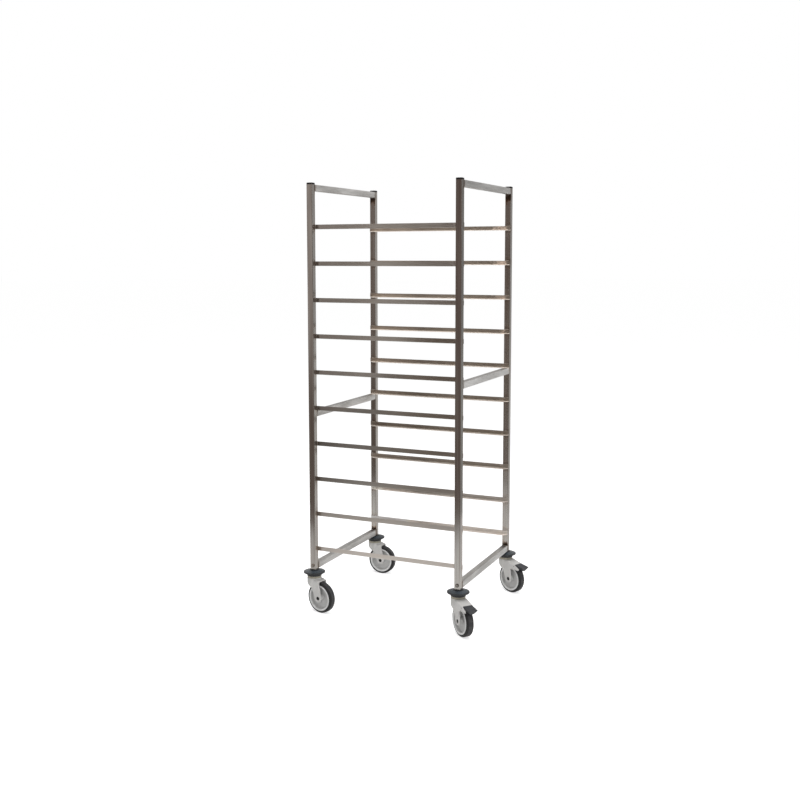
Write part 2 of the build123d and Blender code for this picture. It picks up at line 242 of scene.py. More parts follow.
def makeHeatTint():
    takes = {"Distance": 1.0, "Reach": 0.02, "Strength": 1.0, "Burn": 0.5}
    group, take, give = newGroup("heatTint", takes, Colour="Color", Amount="Float")
    where = ownPlace(group)
    wobble = spread(group, noise(group, where, *heatLook["wobble"]), *heatLook["wobbleTo"])
    near = calc(group, "DIVIDE", times(group, take["Distance"], wobble), take["Reach"])
    straw, burnt = (ramp(group, near, heatLook[name]) for name in ("straw", "burnt"))
    feed(group, give["Colour"], tinted(group, take["Burn"], straw, burnt))
    patch = spread(group, noise(group, where, *heatLook["patch"]), *heatLook["patchTo"])
    faded = times(group, spread(group, near, *heatLook["fade"], smooth=True), patch)
    feed(group, give["Amount"], calc(group, "MULTIPLY", faded, take["Strength"], clamp=True))
    return group


# skin of moulded plastic, rubber and plated steel: a fine grain and soft clouds
skinLook = {"detail": 3.0, "contrast": (0.3, 0.7)}


def makeMouldSkin():
    takes = {"GrainScale": 1500.0, "CloudScale": 22.0}
    group, take, give = newGroup("mouldSkin", takes, Grain="Float", Cloud="Float")
    where = ownPlace(group)
    for label in ("Grain", "Cloud"):
        mottled = noise(group, where, take[label + "Scale"], skinLook["detail"])
        feed(group, give[label], spread(group, mottled, *skinLook["contrast"]))
    return group


# edges rubbed bare in patches, found by how far a rounded normal turns from the face's own
rubLook = {"samples": 4, "turn": (0.985, 0.80), "patch": (0.35, 0.6)}


def makeEdgeRub():
    group, take, give = newGroup("edgeRub", {"Width": 0.001, "PatchScale": 60.0}, Rub="Float")
    rounder = group.nodes.new("ShaderNodeBevel")
    rounder.samples = rubLook["samples"]
    feed(group, rounder.inputs["Radius"], take["Width"])
    turn = vectorCalc(group, "DOT_PRODUCT", rounder.outputs[0], normal(group))
    patch = spread(group, noise(group, ownPlace(group), take["PatchScale"]), *rubLook["patch"])
    feed(group, give["Rub"], times(group, spread(group, turn, *rubLook["turn"]), patch))
    return group


# specks of dust, thicker near the floor
dustLook = {"detail": 4.0, "speck": (0.4, 0.7)}


def makeFloorDust():
    group, take, give = newGroup("floorDust", {"Height": 0.05, "SpeckScale": 120.0}, Dust="Float")
    where = ownPlace(group)
    low = spread(group, parts(group, where)["Z"], 0.0, take["Height"], 1.0, 0.0, True)
    specks = noise(group, where, take["SpeckScale"], dustLook["detail"])
    feed(group, give["Dust"], times(group, low, spread(group, specks, *dustLook["speck"])))
    return group


def makeFromAxle():                                      # distance from a wheel's axle and its middle plane
    takes = {"Axle": (0, 0, 0), "Way": (0, 1, 0)}
    group, take, give = newGroup("fromAxle", takes, Radius="Float", Side="Float")
    away = vectorCalc(group, "SUBTRACT", ownPlace(group), take["Axle"])
    side = vectorCalc(group, "DOT_PRODUCT", away, take["Way"])
    whole = vectorCalc(group, "LENGTH", away)
    square = past(group, times(group, whole, whole), times(group, side, side))
    feed(group, give["Radius"], calc(group, "SQRT", square))
    feed(group, give["Side"], calc(group, "ABSOLUTE", side))
    return group


brushedGrain, heatTint, mouldSkin = makeBrushedGrain(), makeHeatTint(), makeMouldSkin()
edgeRub, floorDust, fromAxle = makeEdgeRub(), makeFloorDust(), makeFromAxle()
print("shared effects made")

# brushed stainless steel, whose grain runs along each tube
# a heat mark has its reach, its strength, how burnt it is and how matt it makes the steel
steel = {
    "post": {
        "axis": "Z", "stretch": (700, 700, 8), "smudge": (110, 110, 2.5),
        "roughness": (0.14, 0.20), "anisotropic": 0.4, "bump": (0.08, 0.0001),
        "colour": (0.65, 0.635, 0.615), "dull": (0.40, 0.355, 0.325), "line": (0.30, 0.28, 0.26),
        # the second mark, dark, on the inner faces under the top bars and over the bottom bars, is partly
        # weld burn and partly painted shade in those corners
        "heat": [(0.022, 0.6, 0.75, 0.0), (0.050, 1.4, 1.0, 0.0)],
    },
    "bar": {
        "axis": "Y", "stretch": (700, 8, 700), "smudge": (45, 6, 45),
        "roughness": (0.40, 0.50), "anisotropic": 1.0, "bump": (0.12, 0.0001),
        "colour": (0.93, 0.92, 0.905), "dull": (0.50, 0.49, 0.475), "line": (0.60, 0.58, 0.56),
        "heat": [(0.012, 0.8, 0.85, 0.0)],
        "matt": (0.20, 0.05), "topFacing": (0.55, 0.95),                    # on the sides, on the upper faces
        "lowerMatt": 0.30, "lowerFrom": (1.2, 1.4),                         # more low down at the right
    },
    "rail": {
        "axis": "X", "stretch": (8, 700, 700), "smudge": (5, 5, 5),
        "roughness": (0.28, 0.33), "anisotropic": 1.0, "bump": (0.04, 0.0001),
        "colour": (0.60, 0.575, 0.545), "dull": (0.47, 0.44, 0.41), "line": (0.30, 0.28, 0.26),
        # the second mark, long and pale at the rear rails' right ends, is partly weld heat tint and partly a
        # painted highlight
        "heat": [(0.018, 0.35, 0.7, 0.0), (0.070, 0.75, 0.0, 0.4)],
        "paleEnds": (1.35, 1.0, 0, 0.045),                                  # shorter heat marks low down
        # painted reflections, set by place on the trolley: the lighter lowest rails, the darker middle ones,
        # the rear ones' shade and their browner hue stand in for the floor and room that the steel reflects
        "lowColour": (0.87, 0.82, 0.775), "lowTo": (0.27, 0.48),            # the lowest take floor light
        "dip": 0.63, "dipFrom": (0.39, 0.66), "dipTo": (0.72, 0.95),        # the middle ones are darker,
        "dipRise": (-0.20, 0.25, 0, 0.42),                                  # further up to the right
        "rearShade": (1.20, 0.62), "rearTo": (-0.28, -0.08),                # rear ones' shade, left to right,
        "rearLow": (0.26, 0.65, 1.50, 1.0),                                 # and lighter low down
        "brown": (1.03, 0.95, 0.865), "brownX": (-0.10, 0.20),              # browner behind and at the right,
        "brownZ": (0.38, 0.60),                                             # above the lowest
        # painted highlights: the flanges' cut edges are partly their own polish, and the bright lines along
        # the rear ones' bends, lighter to the left and changing with height, are painted highlight
        "edge": ((1.0, 0.915, 0.835), (0.90, 0.80, 0.715)),                 # bright edges, left to right,
        "edgeMatt": 0.75, "cutInset": (0.0163, 0.0180),                     # where the flanges are cut
        "bendRise": (-0.0058, -0.0080), "bendInset": (0.0003, 0.0013),      # and the rear ones are bent,
        "topEdge": (1.0, 0.55), "topEdgeRise": (0.45, 1.2, 0.2, 1.15),      # with less on the upper faces
        "topFacing": (0.5, 0.9),
    },
}
wornShare = {"dull": 0.7, "line": 0.35}                  # how much the smudges and streaks take the colour
weldReach = {"pastPost": 6.0, "lastTier": 9.3, "aboveBar": 1.7, "offInner": 4.0}   # what cuts a mark short


# how far each spot is from the welds, one distance for each of its heat marks

def fromInnerFace(tree, y):
    return calc(tree, "ABSOLUTE", calc(tree, "SUBTRACT", calc(tree, "ABSOLUTE", y), trolley["innerY"]))


def fromPostWelds(tree):                                 # beside the rails, and next to the crossbars
    x, y, z = parts(tree, ownPlace(tree))
    inner = fromInnerFace(tree, y)
    tier = calc(tree, "PINGPONG", calc(tree, "SUBTRACT", z, trolley["lowTier"]), trolley["pitch"] / 2)
    over = past(tree, z, trolley["lowTier"] + weldReach["lastTier"] * trolley["pitch"])
    rails = calc(tree, "ADD", past(tree, tier, trolley["railLeg"] / 2), over)
    # next to the crossbars: partly weld burn, partly painted shade in the corners
    above = times(tree, past(tree, z, trolley["bottomBar"][1]), weldReach["aboveBar"])
    bars = calc(tree, "MINIMUM", past(tree, trolley["topBar"], z), above)
    faced = times(tree, inner, weldReach["offInner"])
    return [calc(tree, "ADD", rails, inner), calc(tree, "ADD", bars, faced)]


def fromBarWelds(tree):
    return [fromInnerFace(tree, parts(tree, ownPlace(tree))["Y"])]


def fromRailWelds(tree):                                 # front rails' ends, and the rear ones' right ends
    x, y, z = parts(tree, ownPlace(tree))
    outer = calc(tree, "SUBTRACT", calc(tree, "ABSOLUTE", x), trolley["innerX"])
    front = calc(tree, "ABSOLUTE", outer)
    right = calc(tree, "SUBTRACT", x, trolley["innerX"])
    # the rear rails' right ends, where the long pale mark is partly painted highlight
    rear = calc(tree, "MAXIMUM", times(tree, right, -1.0), times(tree, right, weldReach["pastPost"]))
    rear = calc(tree, "ADD", rear, spread(tree, z, *steel["rail"]["paleEnds"]))
    return [calc(tree, "ADD", front, eitherSide(tree, y)), calc(tree, "ADD", rear, eitherSide(tree, y, 1, 0))]


weldDistances = {"post": fromPostWelds, "bar": fromBarWelds, "rail": fromRailWelds}


# painted reflections on the rails: lighter low down, darker in the middle and rising to the right, the rear
# ones shaded from left to right and browner
def paintedRailReflections(tree, coloured, look):
    x, y, z = parts(tree, ownPlace(tree))
    coloured = tinted(tree, spread(tree, z, *look["lowTo"], 1, 0), coloured, look["lowColour"])
    above = calc(tree, "SUBTRACT", z, spread(tree, x, *look["dipRise"]))
    ended = spread(tree, above, *look["dipTo"], 1, 0, True)
    dip = times(tree, spread(tree, z, *look["dipFrom"], smooth=True), ended)
    shade = spread(tree, dip, 0, 1, 1, look["dip"])
    left, right = look["rearShade"]
    rear = spread(tree, x, *look["rearTo"], times(tree, shade, left), right)
    rear = times(tree, rear, spread(tree, z, *look["rearLow"]))
    behind = eitherSide(tree, y)
    coloured = tinted(tree, 1.0, coloured, spread(tree, behind, 0, 1, shade, rear), "MULTIPLY")
    brown = calc(tree, "MAXIMUM", behind, times(tree, dip, spread(tree, x, *look["brownX"])))
    brown = times(tree, brown, spread(tree, z, *look["brownZ"]))
    return tinted(tree, brown, coloured, look["brown"], "MULTIPLY")


# painted highlights along the rails' cut edges and the rear ones' bends, partly the edges' own polish
def paintedEdgeHighlights(tree, look):
    x, y, z = parts(tree, ownPlace(tree))
    cutFrom = [trolley["innerY"] - inset for inset in look["cutInset"]]
    bendFrom = [trolley["innerY"] - inset for inset in look["bendInset"]]
    cut = spread(tree, calc(tree, "ABSOLUTE", y), *cutFrom)
    half = trolley["pitch"] / 2
    height = calc(tree, "WRAP", calc(tree, "SUBTRACT", z, trolley["lowTier"]), half, -half)
    across = (-trolley["postX"], trolley["postX"])
    upper = times(tree, spread(tree, x, *across, *look["topEdge"]), spread(tree, z, *look["topEdgeRise"]))
    rear = times(tree, eitherSide(tree, y), spread(tree, y, *bendFrom))
    bend = times(tree, spread(tree, height, *look["bendRise"]), rear)
    bend = times(tree, bend, spread(tree, parts(tree, normal(tree))["Z"], *look["topFacing"], 1, upper))
    return calc(tree, "MAXIMUM", cut, bend), tinted(tree, spread(tree, x, *across), *look["edge"])


def barMatt(tree, look):
    x, y, z = parts(tree, ownPlace(tree))
    lower = times(tree, eitherSide(tree, x), spread(tree, z, *look["lowerFrom"], look["lowerMatt"], 0))
    sides, tops = look["matt"]
    facing = parts(tree, normal(tree))["Z"]
    return spread(tree, facing, *look["topFacing"], calc(tree, "ADD", lower, sides), tops)


def makeSteel(kind):
    look = steel[kind]
    made, tree, shader = newMaterial(kind + "Steel", Metallic=1.0, Anisotropic=look["anisotropic"])
    grain = place(tree, brushedGrain, Stretch=look["stretch"], Smudge=look["smudge"])
    worn = tinted(tree, times(tree, grain["Smudge"], wornShare["dull"]), look["colour"], look["dull"])
    coloured = tinted(tree, times(tree, grain["Streak"], wornShare["line"]), worn, look["line"])
    if kind == "rail":
        coloured = paintedRailReflections(tree, coloured, look)
    matt = barMatt(tree, look) if kind == "bar" else None
    for distance, (reach, strength, burn, dull) in zip(weldDistances[kind](tree), look["heat"]):
        heat = place(tree, heatTint, Distance=distance, Reach=reach, Strength=strength, Burn=burn)
        coloured = tinted(tree, heat["Amount"], coloured, heat["Colour"])
        if dull:
            matt = times(tree, heat["Amount"], dull)
    if kind == "rail":
        # painted highlights on the rails' edges, made less metal so that they show bright
        edge, highlightColour = paintedEdgeHighlights(tree, look)
        coloured = tinted(tree, edge, coloured, highlightColour)
        matt = calc(tree, "MAXIMUM", matt, times(tree, edge, look["edgeMatt"]))
    if matt:
        feed(tree, shader.inputs["Metallic"], calc(tree, "SUBTRACT", 1.0, matt))
    surfaced(tree, shader, coloured, grain["Streak"], look)
    along = tree.nodes.new("ShaderNodeTangent")
    along.direction_type = "RADIAL"
    along.axis = look["axis"]
    feed(tree, shader.inputs["Tangent"], along.outputs[0])
    return made


# moulded plastics
moulded = {
    "castorPlastic": {
        "colour": (0.61, 0.60, 0.585), "deep": (0.55, 0.54, 0.525), "rub": (0.72, 0.72, 0.71),
        "dust": (0.38, 0.36, 0.33), "roughness": (0.32, 0.44), "gloss": 0.5,
    },
    # the pedal's edges take a rub colour darker than its body: painted shade along its edges
    "pedalPlastic": {
        "colour": (0.034, 0.0365, 0.043), "deep": (0.026, 0.028, 0.033), "rub": (0.022, 0.022, 0.026),
        "dust": (0.12, 0.11, 0.10), "roughness": (0.38, 0.52), "gloss": 0.5,
    },
    "capPlastic": {
        "colour": (0.014, 0.0125, 0.0125), "deep": (0.010, 0.009, 0.009), "rub": (0.030, 0.028, 0.027),
        "dust": (0.10, 0.095, 0.09), "roughness": (0.46, 0.60), "gloss": 0.2,
    },
    "bushPlastic": {
        "colour": (0.55, 0.53, 0.48), "deep": (0.45, 0.43, 0.39), "rub": (0.62, 0.60, 0.56),
        "dust": (0.30, 0.28, 0.25), "roughness": (0.40, 0.55), "gloss": 0.5,
    },
}
mouldedWear = {"rubWidth": 0.0012, "dustHeight": 0.09, "dustShare": 0.35, "bump": (0.12, 0.0002)}


def makeMoulded(name):
    look = moulded[name] | mouldedWear
    made, tree, shader = newMaterial(name, Specular_IOR_Level=look["gloss"])
    skin = place(tree, mouldSkin)
    body = tinted(tree, skin["Cloud"], look["colour"], look["deep"])
    # for the pedal the rub colour is darker, painted shade along its edges
    rubbed = tinted(tree, place(tree, edgeRub, Width=look["rubWidth"])["Rub"], body, look["rub"])
    dust = times(tree, place(tree, floorDust, Height=look["dustHeight"])["Dust"], look["dustShare"])
    surfaced(tree, shader, tinted(tree, dust, rubbed, look["dust"]), skin["Grain"], look)
    return made


# bumpers: slate grey, with painted light on top, and painted shade that makes them nearly black round the
# post, at the rim and underneath
bumper = {
    "reach": 0.044, "post": (0.010, 0.010, 0.011), "top": (0.046, 0.062, 0.078), "rim": (0.016, 0.019, 0.023),
    "stops": [("post", 0.40), ("top", 0.52), ("top", 0.78), ("rim", 0.95)],
    "paintedUnderShade": (0.012, 0.013, 0.015), "belowDrop": (0.0145, 0.0120),
    "cloud": (0.030, 0.034, 0.038), "cloudScale": 45.0, "cloudShare": 0.35,
    "roughness": (0.22, 0.35), "bump": (0.12, 0.0002),
}


def makeBumper():
    made, tree, shader = newMaterial("bumperRubber")
    skin = place(tree, mouldSkin, CloudScale=bumper["cloudScale"])
    x, y, z = parts(tree, ownPlace(tree))
    aside = calc(tree, "SUBTRACT", calc(tree, "ABSOLUTE", x), trolley["postX"])
    ahead = calc(tree, "SUBTRACT", calc(tree, "ABSOLUTE", y), trolley["postY"])
    share = calc(tree, "DIVIDE", hypot(tree, aside, ahead), bumper["reach"])
    # painted light and shade: lighter on the top, nearly black round the post and at the rim
    upper = ramp(tree, share, [(stop, bumper[name]) for name, stop in bumper["stops"]])
    # painted shade underneath
    underShadeTo = [trolley["bumperTop"] - drop for drop in bumper["belowDrop"]]
    lit = tinted(tree, spread(tree, z, *underShadeTo), bumper["paintedUnderShade"], upper)
    clouded = tinted(tree, times(tree, skin["Cloud"], bumper["cloudShare"]), lit, bumper["cloud"])
    surfaced(tree, shader, clouded, skin["Grain"], bumper)
    return made


# wheels: a pale rim ring round a greyer disc
wheel = {
    "disc": (0.535, 0.533, 0.527), "rim": (0.74, 0.74, 0.735), "rimFrom": (0.0452, 0.0464),
    "hubRing": (0.60, 0.595, 0.58), "hubTo": (0.0135, 0.0150), "cloudScale": 35.0,
    "soil": (0.25, 0.24, 0.22), "soilFrom": (0.3, 1, 0, 0.16), "rub": (0.66, 0.66, 0.65), "rubShare": 0.5,
    "roughness": (0.34, 0.46), "bump": (0.1, 0.0002),
}


def makeWheel(corner):
    made, tree, shader = newMaterial("wheelPlastic_" + corner)
    skin = place(tree, mouldSkin, CloudScale=wheel["cloudScale"])
    spot = place(tree, fromAxle, **axle(corner))
    ringed = tinted(tree, spread(tree, spot["Radius"], *wheel["rimFrom"]), wheel["disc"], wheel["rim"])
    hubbed = tinted(tree, spread(tree, spot["Radius"], *wheel["hubTo"], 1, 0), ringed, wheel["hubRing"])
    soiled = tinted(tree, spread(tree, skin["Cloud"], *wheel["soilFrom"]), hubbed, wheel["soil"])
    rub = times(tree, place(tree, edgeRub)["Rub"], wheel["rubShare"])
    surfaced(tree, shader, tinted(tree, rub, soiled, wheel["rub"]), skin["Grain"], wheel)
    return made


# tyres: dark, with painted light along the middle of the tread, where the crown is lit
tyre = {
    "wall": (0.013, 0.013, 0.0145), "tread": (0.035, 0.033, 0.037), "treadTo": (0.0062, 0.0100),
    "outside": (0.0590, 0.0610), "dust": (0.17, 0.165, 0.155), "dustFrom": (0.4, 1.0), "dustShare": 0.22,
    "cloudScale": 60.0, "roughness": (0.52, 0.72), "bump": (0.15, 0.0002),
}


def makeTyre(corner):
    made, tree, shader = newMaterial("tyreRubber_" + corner)
    skin = place(tree, mouldSkin, CloudScale=tyre["cloudScale"])
    spot = place(tree, fromAxle, **axle(corner))
    # painted light: worn marks the crown band of the tread, which also takes the dust
    inside = spread(tree, spot["Side"], *tyre["treadTo"], 1, 0, True)
    worn = times(tree, inside, spread(tree, spot["Radius"], *tyre["outside"]))
    treaded = tinted(tree, worn, tyre["wall"], tyre["tread"])
    dusted = times(tree, worn, spread(tree, skin["Cloud"], *tyre["dustFrom"]), tyre["dustShare"])
    surfaced(tree, shader, tinted(tree, dusted, treaded, tyre["dust"]), skin["Grain"], tyre)
    return made


# plain hard steels: the castors' plated and blackened pieces, and the weld beads
hardware = {
    "platedSteel": {"colour": (0.46, 0.44, 0.37), "deep": (0.34, 0.32, 0.26), "roughness": (0.34, 0.48)},
    "axleSteel": {"colour": (0.050, 0.048, 0.050), "deep": (0.030, 0.029, 0.030), "roughness": (0.35, 0.50)},
    "weldSteel": {"colour": (0.42, 0.38, 0.34), "deep": (0.20, 0.16, 0.13), "roughness": (0.28, 0.45)},
}
hardSkin = {"GrainScale": 2200.0, "CloudScale": 160.0}
hardWear = {"rub": (0.55, 0.53, 0.50), "rubWidth": 0.0006, "bump": (0.1, 0.0001)}


def makeHardware(name):
    look = hardware[name] | hardWear
    made, tree, shader = newMaterial(name, Metallic=1.0)
    skin = place(tree, mouldSkin, **hardSkin)
    body = tinted(tree, skin["Cloud"], look["colour"], look["deep"])
    rubbed = tinted(tree, place(tree, edgeRub, Width=look["rubWidth"])["Rub"], body, look["rub"])
    surfaced(tree, shader, rubbed, skin["Grain"], look)
    return made


# screw heads low on the posts: bright in the middle, with a ring of painted shade round it, less dark at the
# left
screw = {
    "centre": (0.56, 0.54, 0.51), "centreTo": (0.0036, 0.0050),
    "leftShadeRing": (0.36, 0.29, 0.25), "round": (0.13, 0.11, 0.095),
    "cloud": (0.16, 0.13, 0.10), "cloudShare": 0.4, "roughness": (0.30, 0.45), "bump": (0.1, 0.0001),
}


def makeScrew():
    made, tree, shader = newMaterial("screwSteel", Metallic=1.0)
    skin = place(tree, mouldSkin, **hardSkin)
    x, y, z = parts(tree, ownPlace(tree))
    aside = calc(tree, "SUBTRACT", calc(tree, "ABSOLUTE", x), trolley["postX"])
    radius = hypot(tree, aside, calc(tree, "SUBTRACT", z, trolley["screwZ"]))
    # painted shade: a dark ring round each head, lighter on the left-hand screws
    ring = tinted(tree, eitherSide(tree, x), screw["leftShadeRing"], screw["round"])
    ringed = tinted(tree, spread(tree, radius, *screw["centreTo"]), screw["centre"], ring)
    clouded = tinted(tree, times(tree, skin["Cloud"], screw["cloudShare"]), ringed, screw["cloud"])
    surfaced(tree, shader, clouded, skin["Grain"], screw)
    return made


finishes = {kind + "Steel": makeSteel(kind) for kind in steel}
finishes |= {"screwSteel": makeScrew(), "bumperRubber": makeBumper()}
finishes |= {name: makeMoulded(name) for name in moulded}
finishes |= {name: makeHardware(name) for name in hardware}
finishes |= {"wheelPlastic_" + corner: makeWheel(corner) for corner in corners}
finishes |= {"tyreRubber_" + corner: makeTyre(corner) for corner in corners}
print("finishes made:", ", ".join(finishes))

# every CAD node by the start of its name
wears = {
    "post_caps": "capPlastic", "post_": "postSteel", "tier_": "railSteel", "stem_bolts": "screwSteel",
    "top_bar": "barSteel", "middle_bar": "barSteel", "bottom_bar": "barSteel", "bumper": "bumperRubber",
    "castor_stem": "platedSteel", "swivel_bearing": "platedSteel", "castor_fork": "castorPlastic",
    "wheel_axle": "axleSteel", "wheel_core": "wheelPlastic_", "tyre": "tyreRubber_",
    "hub_bush": "bushPlastic", "brake_pedal": "pedalPlastic", "brake_pin": "axleSteel",
    "brake_spring": "platedSteel",
}


def dress(name, node):
    finish = next(wears[start] for start in wears if name.startswith(start))
    if finish.endswith("_"):                             # a finish of this corner's own
        finish += next(corner for corner in corners if name.endswith(corner))
    node.data.materials.clear()
    node.data.materials.append(finishes[finish])


for name, node in nodes.items():
    dress(name, node)
print("nodes dressed")


# mesh helpers

def joinLoops(mesh, one, two):
    for step in range(len(one)):
        after = (step + 1) % len(one)
        mesh.faces.new((one[step], one[after], two[after], two[step]))


def newPiece(name, mesh, finish):
    made = bpy.data.meshes.new(name)
    mesh.to_mesh(made)
    mesh.free()
    made.materials.append(finish)
    piece = bpy.data.objects.new(name, made)
    scene.collection.objects.link(piece)
    return piece


# weld beads: rippled rounds, half sunk, that ride on the frame
bead = {"radius": 0.0015, "tip": 0.00005, "ripple": 0.0018, "depth": 0.16, "rings": 30, "sides": 8,
        "railUp": 0.014, "railAcross": 0.015, "barAcross": 0.020}


def beadRadius(share, length):
    close = min(share, 1 - share) * length / bead["radius"]
    swell = math.sqrt(max(0.0, 1 - (1 - min(close, 1.0)) ** 2))
    wave = 1 + bead["depth"] * math.cos(share * length / bead["ripple"] * math.tau)
    return max(bead["radius"] * swell * wave, bead["tip"])


def addBead(mesh, start, end):
    length = (end - start).length
    way = (end - start).normalized()
    side = way.orthogonal().normalized()
    other = way.cross(side)
    turns = [math.tau * step / bead["sides"] for step in range(bead["sides"])]
    spokes = [side * math.cos(turn) + other * math.sin(turn) for turn in turns]
    loops = []
    for ring in range(bead["rings"] + 1):
        share = ring / bead["rings"]
        spot = start + way * length * share
        radius = beadRadius(share, length)
        loops.append([mesh.verts.new(spot + spoke * radius) for spoke in spokes])
    for one, two in zip(loops, loops[1:]):
        joinLoops(mesh, one, two)
    mesh.faces.new(loops[0])
    mesh.faces.new(loops[-1])


def weldPiece(name, lines):
    mesh = bmesh.new()
    for start, end in lines:
        addBead(mesh, Vector(start), Vector(end))
    bmesh.ops.recalc_face_normals(mesh, faces=mesh.faces)
    piece = newPiece(name, mesh, finishes["weldSteel"])
    piece.data.shade_smooth()
    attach(piece, "frame")


def railLines():                                         # upright in each corner, and along the upper edge
    up, across = bead["railUp"] / 2, bead["railAcross"] / 2
    for tier in range(len(tiers)):
        z = trolley["lowTier"] + tier * trolley["pitch"]
        top = z + trolley["railLeg"] / 2
        for endways in (-1, 1):
            x, corner = endways * trolley["postX"], endways * trolley["innerX"]
            for y in (-trolley["innerY"], trolley["innerY"]):
                yield (corner, y, z - up), (corner, y, z + up)
                yield (x - across, y, top), (x + across, y, top)


def barLines():                                          # across each bar's upper and lower edges
    across = bead["barAcross"] / 2
    for x, edges in ((-trolley["postX"], trolley["leftMiddle"]), (trolley["postX"], trolley["rightMiddle"])):
        for z in (trolley["topBar"], *trolley["bottomBar"], *edges):
            for y in (-trolley["innerY"], trolley["innerY"]):
                yield (x - across, y, z), (x + across, y, z)


weldPiece("railWelds", railLines())
weldPiece("barWelds", barLines())
print("weld beads made")

# the forks' mouldings are softer than their plain solids
softFork = {"voxel": 0.0011, "smooth": 0.5, "passes": 8}
for corner in corners:
    fork = nodes["castor_fork_" + corner]
    remesh = fork.modifiers.new("softBody", "REMESH")
    remesh.mode = "VOXEL"
    remesh.voxel_size = softFork["voxel"]
    remesh.use_smooth_shade = True
    relax = fork.modifiers.new("softEdges", "SMOOTH")
    relax.factor = softFork["smooth"]
    relax.iterations = softFork["passes"]
print("forks softened")

# studio: white floor, white world, soft lamps and cards that only reflections show
studio = {
    "worldFill": 0.62,
    "floor": {"colour": (0.90, 0.90, 0.90), "glow": 0.55, "radius": 60, "sides": 96},
    "topLamp": {"at": (0.2, -0.6, 3.6), "aim": (0, 0, 0.8), "size": 3.0, "power": 70},
    "sideLamp": {"at": (3.4, -2.2, 2.4), "aim": (0, 0, 0.8), "size": 2.2, "power": 40},
    "wall": {"centre": (0.1, -0.1), "radius": 1.75, "steps": 144, "fade": (0.52, 1.28)},
    "ground": {
        "hole": 0.02, "lift": 0.001, "behind": (0.1, -0.6), "behindTone": (0.66, 0.65, 0.64),
        "tones": [(0.0, (0.74, 0.73, 0.71)), (0.45, (0.72, 0.71, 0.69)),
                  (0.75, (0.62, 0.61, 0.595)), (1.0, (0.44, 0.43, 0.415))],
    },
}
# what the wall's cards show, round from the front in degrees: tone near the floor, tone higher up, top edge
cards = [
    (-180, (0.64, 0.63, 0.61), (0.55, 0.54, 0.525), 2.6),
    (-166, (0.43, 0.425, 0.42), (0.36, 0.355, 0.35), 2.6),
    (-142, (0.43, 0.425, 0.42), (0.36, 0.355, 0.35), 2.6),
    (-125, (0.80, 0.775, 0.745), (0.80, 0.775, 0.745), 2.0),
    (-100, (0.42, 0.40, 0.38), (0.36, 0.34, 0.32), 2.0),
    (-60, (0.16, 0.130, 0.110), (0.16, 0.130, 0.110), 3.2),
    (-50, (0.13, 0.104, 0.088), (0.11, 0.085, 0.072), 4.0),
    (-44, (0.15, 0.128, 0.110), (0.16, 0.125, 0.108), 4.0),
    (-38, (0.13, 0.095, 0.080), (0.52, 0.47, 0.44), 4.0),
    (-34, (0.22, 0.190, 0.170), (0.33, 0.295, 0.27), 4.0),
    (-28, (0.42, 0.385, 0.355), (0.50, 0.455, 0.42), 4.0),
    (-22, (0.36, 0.325, 0.295), (0.31, 0.275, 0.245), 4.0),
    (-16, (0.165, 0.130, 0.116), (0.135, 0.096, 0.079), 4.0),
    (-11, (0.165, 0.135, 0.120), (0.165, 0.130, 0.116), 4.0),
    (20, (0.15, 0.118, 0.104), (0.16, 0.130, 0.115), 4.0),
    (70, (0.26, 0.245, 0.23), (0.24, 0.225, 0.21), 2.4),
    (110, (0.34, 0.33, 0.32), (0.28, 0.27, 0.26), 2.0),
    (150, (0.28, 0.275, 0.265), (0.22, 0.215, 0.21), 4.0),
    (161, (0.68, 0.67, 0.65), (0.50, 0.49, 0.48), 3.2),
    (180, (0.64, 0.63, 0.61), (0.55, 0.54, 0.525), 2.6),
]
cardTurns, lowTones, highTones, cardTops = zip(*cards)


def litBackground(tree, shows, lights):                  # what is seen, and what lights the rest
    path = tree.nodes.new("ShaderNodeLightPath").outputs
    seen = calc(tree, "MAXIMUM", path["Is Camera Ray"], path["Is Glossy Ray"])
    made = tree.nodes.new("ShaderNodeMixShader")
    feedAll(tree, made.inputs, (calc(tree, "MAXIMUM", seen, path["Is Transmission Ray"]), lights, shows))
    return made.outputs[0]


def makeWorld():
    world = bpy.data.worlds.new("studioWhite")
    scene.world = world
    world.use_nodes = True
    tree = world.node_tree
    shows = tree.nodes["Background"]
    shows.inputs["Color"].default_value = opaque((1, 1, 1))
    lights = tree.nodes.new("ShaderNodeBackground")
    lights.inputs["Strength"].default_value = studio["worldFill"]
    lit = litBackground(tree, shows.outputs[0], lights.outputs[0])
    feed(tree, tree.nodes["World Output"].inputs["Surface"], lit)


def makeFloor():
    look = studio["floor"]
    finish, tree, plain = newMaterial("floorWhite")
    tree.nodes.remove(plain)
    shader = tree.nodes.new("ShaderNodeBsdfDiffuse")
    shader.inputs["Color"].default_value = opaque(look["colour"])
    glow = tree.nodes.new("ShaderNodeEmission")
    glow.inputs["Strength"].default_value = look["glow"]
    both = tree.nodes.new("ShaderNodeAddShader")
    feedAll(tree, both.inputs, (shader.outputs[0], glow.outputs[0]))
    lit = litBackground(tree, both.outputs[0], shader.outputs[0])
    feed(tree, tree.nodes["Material Output"].inputs["Surface"], lit)
    mesh = bmesh.new()
    bmesh.ops.create_circle(mesh, cap_ends=True, radius=look["radius"], segments=look["sides"])
    floor = newPiece("paleFloor", mesh, finish)


def fromCentre(tree):
    x, y, z = parts(tree, ownPlace(tree))
    midX, midY = studio["wall"]["centre"]
    return calc(tree, "SUBTRACT", x, midX), calc(tree, "SUBTRACT", midY, y), z


